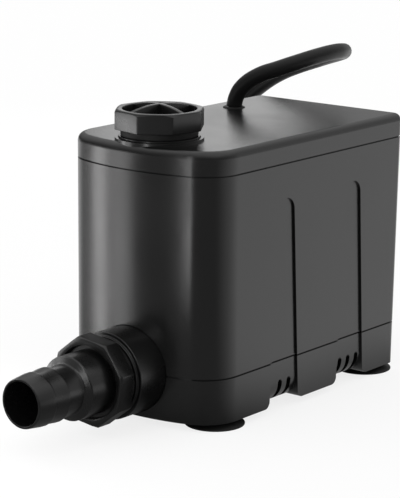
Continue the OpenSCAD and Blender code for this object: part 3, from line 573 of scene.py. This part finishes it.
for name, body, node, place, face in (("cap_washer_ring", "cap_washer", "cap_seal", upright, top_face),
                                      ("barb_washer_ring", "barb_washer", "barb_seal", forward, port_face)):
    washer = eased([(18.5, face, 0.4), (20.4, face, 0.8), (20.4, face + washer_t, 0.8),
                    (18.5, face + washer_t, 0.4)])
    bm = bmesh.new()
    turned(bm, lambda angle: washer, place, round_angles, closed=True)
    make_piece(name, bm, rubber, body, "black_rubber", node)

# ---- Hose barb ----
# One moulding round a plain bore: threaded spigot, octagonal head with a ring-shaped recess, plain neck that
# ends in a step, and a hose tail with two low ridges and a thin mouth.
barb_u = port_face + washer_t
barb_turn = math.radians(15.5)
barb_face = barb_u + head_height
neck_end = barb_face + 14.7
mouth_end = neck_end + 34.6
tail = eased([(17.1, barb_face - 3, 0), (17.1, neck_end, 0.7), (13.2, neck_end + 1.8, 0.9),
              (13.6, neck_end + 13, 0.2), (14.4, neck_end + 13.5, 0.35), (14.4, neck_end + 14.5, 0.4),
              (13.4, neck_end + 22.9, 0.2), (14.1, neck_end + 23.5, 0.35), (14.1, neck_end + 24.5, 0.4),
              (12.9, mouth_end, 0.75), (11.6, mouth_end, 0.4), (11.6, port_face - thread_l, 0)])


def barb_profile(angle):
    return ([(11.8, port_face - thread_l), (16.6, port_face - thread_l), (17.1, port_face - thread_l + 0.4)]
            + thread_rows(angle, port_face - thread_l + 0.6, port_face - 0.3, spigot_r - 1, 1.0)
            + [(spigot_r - 0.1, port_face), (spigot_r - 0.1, barb_u)] + head_rows(angle, barb_turn, barb_u)
            + [(hollow_r + 0.7, barb_face), (hollow_r + 0.2, barb_face - 0.2), (hollow_r, barb_face - 0.7),
               (hollow_r, barb_face - 2.6), (hollow_r - 0.4, barb_face - 3)] + tail)


bm = bmesh.new()
turned(bm, barb_profile, forward, head_angles(barb_turn), closed=True)
make_piece("hose_tail", bm, smooth, "barb", "fitting_plastic", "hose_barb")

# ---- Suction cups ----
# Four soft rubber cups with a thin lip that stands on the ground. Each is pulled through a hole of the
# tray's floor by its button.
cup_profile = eased([(5, 2.4, 0), (12, 0.9, 1.5), (15, 0, 0.4), (16, 0, 0.25), (16, 0.7, 0.25), (12, 2.2, 2),
                     (7, 4, 0.5), (4, 4, 0), (4, 6.5, 0), (5.8, 6.5, 0.3), (5.2, 8.1, 0.5)])
cup_profile = [(0, 2.4)] + cup_profile + [(0, 8.1)]
bm = bmesh.new()
cup_x = 36.75
cup_rows = (-62, 75)
for x in (-cup_x, cup_x):
    for y in cup_rows:
        turned(bm, lambda angle: cup_profile, standing(x, y), round_angles[::2], closed=False)
make_piece("rubber_feet", bm, rubber, "housing", "black_rubber", "suction_cups")

# ---- Screws ----
# Plated steel screws with a domed head and a cross recess. Five hold the casing on the tray, four the pump
# chamber on the motor case, and four the motor case on the tray's posts.
plated = Finish("steel", (0.62, 0.62, 0.63), 0.3, Metallic=1.0)
plated.set("Roughness", plated.spread(plated.noise(700, 3), 0.24, 0.38))
cross_half = 0.45


def cross_angles():
    """Angles round a cross recess, with its inner and outer corners among them."""
    out = []
    for k in range(4):
        out += [math.tau * k / 4 + math.radians(step) for step in (-45, -32, -22, -13.5, 0, 13.5, 22, 32)]
    return out


def screws(name, node, places, shank, tip, seat, head_radius, head_tall):
    """Screws whose heads lie below their seats; a negative head height puts them above."""
    bm = bmesh.new()
    arm = head_radius * 0.55
    way = math.copysign(1, head_tall)
    crown = seat - head_tall

    def profile(angle):
        aside = (angle + math.pi / 4) % (math.pi / 2) - math.pi / 4
        reach = min(arm / math.cos(aside), cross_half * arm / 1.9 / max(math.sin(abs(aside)), 0.01))
        return [(0, tip), (shank * 0.6, tip), (shank, tip - way * 0.6), (shank, seat), (head_radius, seat),
                (head_radius, seat - head_tall * 0.35), (head_radius * 0.93, seat - head_tall * 0.7),
                (head_radius * 0.75, seat - head_tall * 0.94), (arm / math.cos(aside) * 1.02 + 0.05, crown),
                (reach, crown), (reach * 0.7, crown + head_tall * 0.5), (0, crown + head_tall * 0.5)]

    for x, y in places:
        turned(bm, profile, standing(x, y), cross_angles(), closed=False)
    make_piece(name, bm, plated, "housing", "steel", node)


tray_x = 43.25
tray_places = [(-tray_x, -42), (-tray_x, 8.5), (tray_x, -42), (tray_x, 8.5), (0, 78)]
screws("tray_screws", "case_screws", tray_places, shank=1.9, tip=42.7, seat=18, head_radius=3.5,
       head_tall=2.6)
rotor_y = 8
ear_ring = 36
ear_x = 31.2
ear_y = math.sqrt(ear_ring ** 2 - ear_x ** 2)
ear_places = [(x, rotor_y + y) for y in (-ear_y, ear_y) for x in (-ear_x, ear_x)]
screws("ear_screws", "chamber_screws", ear_places, shank=1.4, tip=38.5, seat=12, head_radius=2.7,
       head_tall=1.8)
post_places = [(-30, -33), (30, -33), (-24, 76), (24, 76)]
screws("post_screws", "motor_screws", post_places, shank=1.5, tip=20, seat=37, head_radius=2.9,
       head_tall=-2)

# ---- Pump chamber and motor case ----
# Glass-filled plastic mouldings, matt and a little lighter than the shell: the chamber with its duct, the
# cover with the inlet eye, the can round the rotor, and the box that holds the motor.
filled = Finish("inner_plastic", (0.07, 0.07, 0.072), 0.55)
filled.tint(filled.noise(220, 5), (0.055, 0.055, 0.057), (0.085, 0.085, 0.087))
filled.bump(filled.noise(900, 4), 0.00008, 0.6)
for name in ("pump_chamber", "chamber_cover", "rotor_can", "motor_case"):
    dress(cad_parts[name], filled)
    crisp(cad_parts[name], 0.25 * mm)

# ---- Gasket and bushes ----
# A flat gasket between the chamber and the motor case, and two bushes that hold the rotor's shaft, of the
# same black rubber as the feet.
for name in ("chamber_gasket", "lower_bush", "upper_bush"):
    dress(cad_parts[name], rubber)

# ---- Rotor ----
# White nylon impeller and stem, with a sintered ring magnet pressed on it. They turn as one on a polished
# shaft of ceramic, which stands still.
nylon = Finish("nylon", (0.74, 0.72, 0.66), 0.42)
nylon.tint(nylon.noise(60, 3), (0.70, 0.68, 0.61), (0.78, 0.76, 0.71))
nylon.bump(nylon.noise(1200), 0.00004, 0.5)
dress(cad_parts["impeller"], nylon)
crisp(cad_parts["impeller"], 0.2 * mm)
sintered = Finish("magnet", (0.07, 0.068, 0.066), 0.5, Metallic=0.4)
sintered.tint(sintered.noise(900, 5), (0.045, 0.044, 0.043), (0.10, 0.097, 0.094))
sintered.bump(sintered.noise(1500, 4), 0.0001, 0.6)
dress(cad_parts["rotor_magnet"], sintered)
crisp(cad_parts["rotor_magnet"], 0.3 * mm)
glazed = Finish("ceramic", (0.83, 0.82, 0.78), 0.16)
glazed.set("Roughness", glazed.spread(glazed.noise(300), 0.12, 0.2))
dress(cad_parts["rotor_shaft"], glazed)
crisp(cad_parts["rotor_shaft"], 0.3 * mm)

# ---- Stator ----
# A stack of half-millimetre steel laminations, two nylon bobbins wound with enamelled copper wire, and the
# layer of black resin that is poured over them. The cord's lead ends there.
stack = Finish("lamination", (0.36, 0.37, 0.39), 0.4, Metallic=0.9)
sheets = stack.stripes("Z", 0.0005)
stack.tint(sheets, (0.16, 0.15, 0.15), (0.42, 0.43, 0.45))
stack.bump(sheets, 0.0001, 0.7)
dress(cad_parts["stator_core"], stack)
dress(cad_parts["bobbins"], nylon)
crisp(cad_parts["bobbins"], 0.2 * mm)
wire = Finish("copper", (0.70, 0.33, 0.16), 0.3, Metallic=1.0, Coat_Weight=0.6)
turns = wire.stripes("Y", 0.0006)
# Painted shade: the stripes darken the copper in the grooves between the turns, and the bump gives the
# grooves their shape.
wire.tint(turns, (0.30, 0.11, 0.05), (0.78, 0.38, 0.19))
wire.bump(turns, 0.00025, 0.9)
for name in ("coil_left", "coil_right"):
    dress(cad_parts[name], wire)
resin = Finish("resin", (0.012, 0.012, 0.013), 0.14, Coat_Weight=0.3)
resin.bump(resin.noise(35, 2), 0.0006, 0.35)
dress(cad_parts["potting_cap"], resin)
dress(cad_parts["cord_lead"], jacket)

# ---- Studio ----
# A pale floor that runs into a white background. In reflections the floor and the sky are white behind the
# pump and on its right and dark ahead of it, and four softboxes stand round it. The floor's white in
# reflections is a glow of painted light, which a painted shadow darkens round the pump.
floor_half = 4
corners = [(x * floor_half, y * floor_half, 0) for x, y in ((-1, -1), (1, -1), (1, 1), (-1, 1))]
floor_mesh = bpy.data.meshes.new("studio_floor")
floor_mesh.from_pydata(corners, [], [(0, 1, 2, 3)])
studio_floor = bpy.data.objects.new("studio_floor", floor_mesh)
scene.collection.objects.link(studio_floor)


def ray_kinds(tree):
    """Which kind of ray looks at a material: the camera's, or one that a surface mirrors or lets through."""
    camera_ray, glossy_ray, clear_ray = (tree.node("LightPath", name, {}, {}) for name in (
        "Is Camera Ray", "Is Glossy Ray", "Is Transmission Ray"))
    return camera_ray, (1 - camera_ray) * glossy_ray.math("MAXIMUM", clear_ray)


def clamped(value, low=0.0, high=1.0):
    """A value kept between two ends."""
    return value.math("MAXIMUM", low).math("MINIMUM", high)


pale = Finish("pale_floor", (0.98, 0.98, 0.98), 0.95, Specular_IOR_Level=0.2)
dress(studio_floor, pale)
seen, mirrored = ray_kinds(pale)
# Painted light: in reflections the floor glows, brighter behind the pump than ahead of it.
outward = pale.node("VectorMath", "Vector", {"operation": "NORMALIZE"}, {"Vector": pale.place})
aside, back = pale.parts(outward)[:2]
lit = clamped((back - aside.math("MINIMUM", 0) * 0.4 + 0.6) / 1.2, 0.2)
across, along = pale.parts(pale.place)[:2]
# Painted shadow: in reflections the floor's glow darkens round the pump's footprint, down to darkest_shade.
pump_half_wide = 0.05
pump_half_long = 0.09
shade_reach = 0.1
darkest_shade = 0.45
beside_pump = across.math("ABSOLUTE") - pump_half_wide
before_pump = (along - mid_y * mm).math("ABSOLUTE") - pump_half_long
shade = clamped(beside_pump.math("MAXIMUM", before_pump) / shade_reach + darkest_shade)
glow = pale.node("Emission", "Emission", {}, {"Color": seen + mirrored * lit * shade, "Strength": 1})
skin_shader = Value(pale, pale.shader.outputs[0])
blend = pale.node("MixShader", "Shader", {}, {0: seen * 0.8 + mirrored, 1: skin_shader, 2: glow})
pale.put(pale.tree.nodes["Material Output"].inputs["Surface"], blend)

world = bpy.data.worlds.new("studio")
scene.world = world
world.use_nodes = True
sky = Tree(world.node_tree)
seen, mirrored = ray_kinds(sky)
aside, back, upward = sky.parts(sky.node("TexCoord", "Generated", {}, {}))
low_sky = clamped((back + aside * 0.3 + 0.1) / 2, 0.1)
high_sky = clamped(upward * 1.2) * clamped(back * 0.6 + 1.1) * 0.9
lit = low_sky.math("MAXIMUM", high_sky)
background = world.node_tree.nodes["Background"]
sky.put(background.inputs["Color"], (1, 1, 1, 1))
sky.put(background.inputs["Strength"], 1 - mirrored * (1 - lit))


def soft_light(name, bearing, distance, height, size, power):
    """A rectangular softbox; its bearing is in degrees from straight ahead of the pump towards its right."""
    lamp = bpy.data.lights.new(name, "AREA")
    lamp.shape = "RECTANGLE"
    lamp.size, lamp.size_y = size
    lamp.energy = power
    obj = bpy.data.objects.new(name, lamp)
    scene.collection.objects.link(obj)
    way = math.radians(bearing)
    obj.location = (distance * math.sin(way), -distance * math.cos(way), height)
    obj.rotation_euler = (Vector((0, 0, height)) - obj.location).to_track_quat("-Z", "Y").to_euler()


soft_light("key_light", bearing=219, distance=1.0, height=0.5, size=(0.22, 0.66), power=0.335)
soft_light("strip_light", bearing=-51, distance=0.166, height=0.072, size=(0.032, 0.14), power=0.052)
soft_light("wash_light", bearing=-36.1, distance=0.1825, height=0.075, size=(0.042, 0.15), power=0.042)
soft_light("narrow_light", bearing=6.2, distance=0.225, height=0.139, size=(0.016, 0.218), power=0.064)
